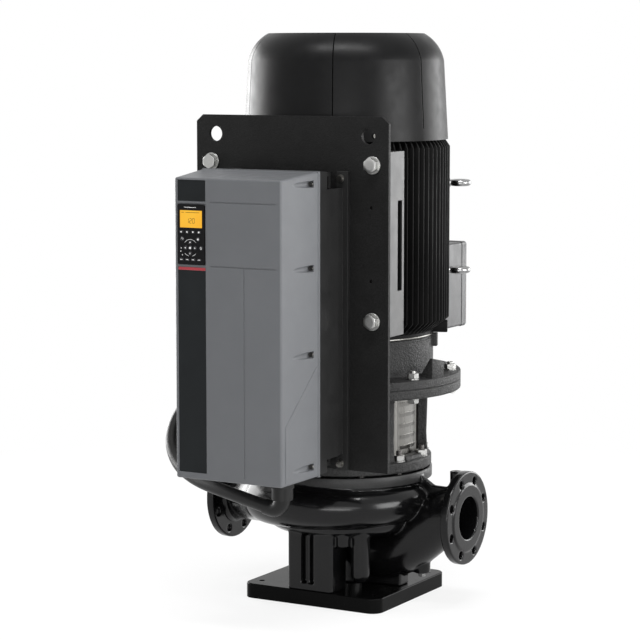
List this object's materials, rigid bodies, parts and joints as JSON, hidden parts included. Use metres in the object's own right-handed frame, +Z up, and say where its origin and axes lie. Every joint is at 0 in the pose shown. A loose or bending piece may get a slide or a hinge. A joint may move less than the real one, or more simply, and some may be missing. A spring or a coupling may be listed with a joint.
{
  "type": "inline centrifugal pump",
  "caption": "Vertical inline centrifugal pump with flanged motor on a stool, frequency converter on a back plate, and pipe flanges on one centreline.",
  "frame": {"origin": "pump axis at the underside of the base plate", "axes": "+Z up along the shaft, +X towards the suction flange, -Y towards the drive"},
  "size_m": [0.678, 0.8989, 1.34],
  "materials": {
    "base_paint": "satin gloss black paint",
    "pump_paint": "glossy black paint on cast iron",
    "stool_iron": "grained dark paint on cast iron",
    "motor_black": "satin black",
    "cover_black": "satin gloss black sheet",
    "plate_black": "fine textured black powder coat",
    "heatsink_black": "black coated casting",
    "drive_grey": "satin mid grey",
    "bracket_grey": "mid grey",
    "box_grey": "mid grey",
    "panel_black": "fine grained plastic",
    "key_dark": "soft matt key",
    "display_amber": "lit display behind a clear window",
    "black_plastic": "moulded",
    "cable_black": "rubber sheath",
    "zinc_steel": "zinc plated",
    "stainless": "stainless sheet",
    "bright_steel": "bright steel",
    "dark_steel": "plain steel",
    "bronze": "machined bronze",
    "gasket_rubber": "flat gasket",
    "seal_ceramic": "polished ceramic",
    "impeller_iron": "cast",
    "coupling_iron": "machined cast iron",
    "lamination": "stacked sheets",
    "copper_winding": "varnished copper"
  },
  "bodies": {
    "root": {"base_plate": "base_paint", "foot_screws": "zinc_steel", "pump_housing": "pump_paint", "housing_plugs": "dark_steel", "wear_ring": "bronze", "pump_cover": "pump_paint", "cover_gasket": "gasket_rubber", "housing_studs": "zinc_steel", "seal_stationary": "seal_ceramic", "motor_stool": "stool_iron", "coupling_guards": "stainless", "drive_end_shield": "stool_iron", "flange_screws": "zinc_steel", "motor_frame": "motor_black", "lifting_eyes": "bright_steel", "stator_core": "lamination", "stator_windings": "copper_winding", "rear_end_shield": "motor_black", "bearing_outer_rings": "bright_steel", "fan_cover": "cover_black", "terminal_box": "box_grey", "terminal_lid": "box_grey", "terminal_gland": "black_plastic", "drive_plate": "plate_black", "plate_bracket_right": "bracket_grey", "plate_bracket_left": "bracket_grey", "plate_screws": "zinc_steel", "drive_housing": "heatsink_black", "drive_cover": "drive_grey", "cover_screws": "stainless", "control_panel": "panel_black", "display_window": "display_amber", "drive_gland": "black_plastic", "motor_cable": "cable_black"},
    "rotor": {"motor_shaft": "dark_steel", "rotor_core": "lamination", "cooling_fan": "black_plastic", "bearing_inner_rings": "bright_steel", "coupling_halves": "coupling_iron", "coupling_screws": "zinc_steel", "pump_shaft": "stainless", "impeller": "impeller_iron", "impeller_nut": "stainless", "seal_rotating": "stainless"},
    "key_menu_1": {"key_menu_1": "key_dark"},
    "key_menu_2": {"key_menu_2": "key_dark"},
    "key_menu_3": {"key_menu_3": "key_dark"},
    "key_menu_4": {"key_menu_4": "key_dark"},
    "key_run_1": {"key_run_1": "key_dark"},
    "key_run_2": {"key_run_2": "key_dark"},
    "key_run_3": {"key_run_3": "key_dark"},
    "key_run_4": {"key_run_4": "key_dark"},
    "key_back": {"key_back": "key_dark"},
    "key_cancel": {"key_cancel": "key_dark"},
    "key_info": {"key_info": "key_dark"},
    "key_ok": {"key_ok": "key_dark"},
    "key_up": {"key_up": "key_dark"},
    "key_down": {"key_down": "key_dark"},
    "key_left": {"key_left": "key_dark"},
    "key_right": {"key_right": "key_dark"}
  },
  "joints": [
    {"name": "rotor_spin", "type": "hinge", "parent": "root", "child": "rotor", "pos_m": [0, 0, 0.6], "axis": [0, 0, 1], "continuous": true},
    {"name": "key_menu_1_press", "type": "slide", "parent": "root", "child": "key_menu_1", "axis": [0, 1, 0], "range_m": [0, 0.001], "stiffness_N_per_m": 400},
    {"name": "key_menu_2_press", "type": "slide", "parent": "root", "child": "key_menu_2", "axis": [0, 1, 0], "range_m": [0, 0.001], "stiffness_N_per_m": 400},
    {"name": "key_menu_3_press", "type": "slide", "parent": "root", "child": "key_menu_3", "axis": [0, 1, 0], "range_m": [0, 0.001], "stiffness_N_per_m": 400},
    {"name": "key_menu_4_press", "type": "slide", "parent": "root", "child": "key_menu_4", "axis": [0, 1, 0], "range_m": [0, 0.001], "stiffness_N_per_m": 400},
    {"name": "key_run_1_press", "type": "slide", "parent": "root", "child": "key_run_1", "axis": [0, 1, 0], "range_m": [0, 0.001], "stiffness_N_per_m": 400},
    {"name": "key_run_2_press", "type": "slide", "parent": "root", "child": "key_run_2", "axis": [0, 1, 0], "range_m": [0, 0.001], "stiffness_N_per_m": 400},
    {"name": "key_run_3_press", "type": "slide", "parent": "root", "child": "key_run_3", "axis": [0, 1, 0], "range_m": [0, 0.001], "stiffness_N_per_m": 400},
    {"name": "key_run_4_press", "type": "slide", "parent": "root", "child": "key_run_4", "axis": [0, 1, 0], "range_m": [0, 0.001], "stiffness_N_per_m": 400},
    {"name": "key_back_press", "type": "slide", "parent": "root", "child": "key_back", "axis": [0, 1, 0], "range_m": [0, 0.001], "stiffness_N_per_m": 400},
    {"name": "key_cancel_press", "type": "slide", "parent": "root", "child": "key_cancel", "axis": [0, 1, 0], "range_m": [0, 0.001], "stiffness_N_per_m": 400},
    {"name": "key_info_press", "type": "slide", "parent": "root", "child": "key_info", "axis": [0, 1, 0], "range_m": [0, 0.001], "stiffness_N_per_m": 400},
    {"name": "key_ok_press", "type": "slide", "parent": "root", "child": "key_ok", "axis": [0, 1, 0], "range_m": [0, 0.001], "stiffness_N_per_m": 400},
    {"name": "key_up_press", "type": "slide", "parent": "root", "child": "key_up", "axis": [0, 1, 0], "range_m": [0, 0.001], "stiffness_N_per_m": 400},
    {"name": "key_down_press", "type": "slide", "parent": "root", "child": "key_down", "axis": [0, 1, 0], "range_m": [0, 0.001], "stiffness_N_per_m": 400},
    {"name": "key_left_press", "type": "slide", "parent": "root", "child": "key_left", "axis": [0, 1, 0], "range_m": [0, 0.001], "stiffness_N_per_m": 400},
    {"name": "key_right_press", "type": "slide", "parent": "root", "child": "key_right", "axis": [0, 1, 0], "range_m": [0, 0.001], "stiffness_N_per_m": 400}
  ]
}
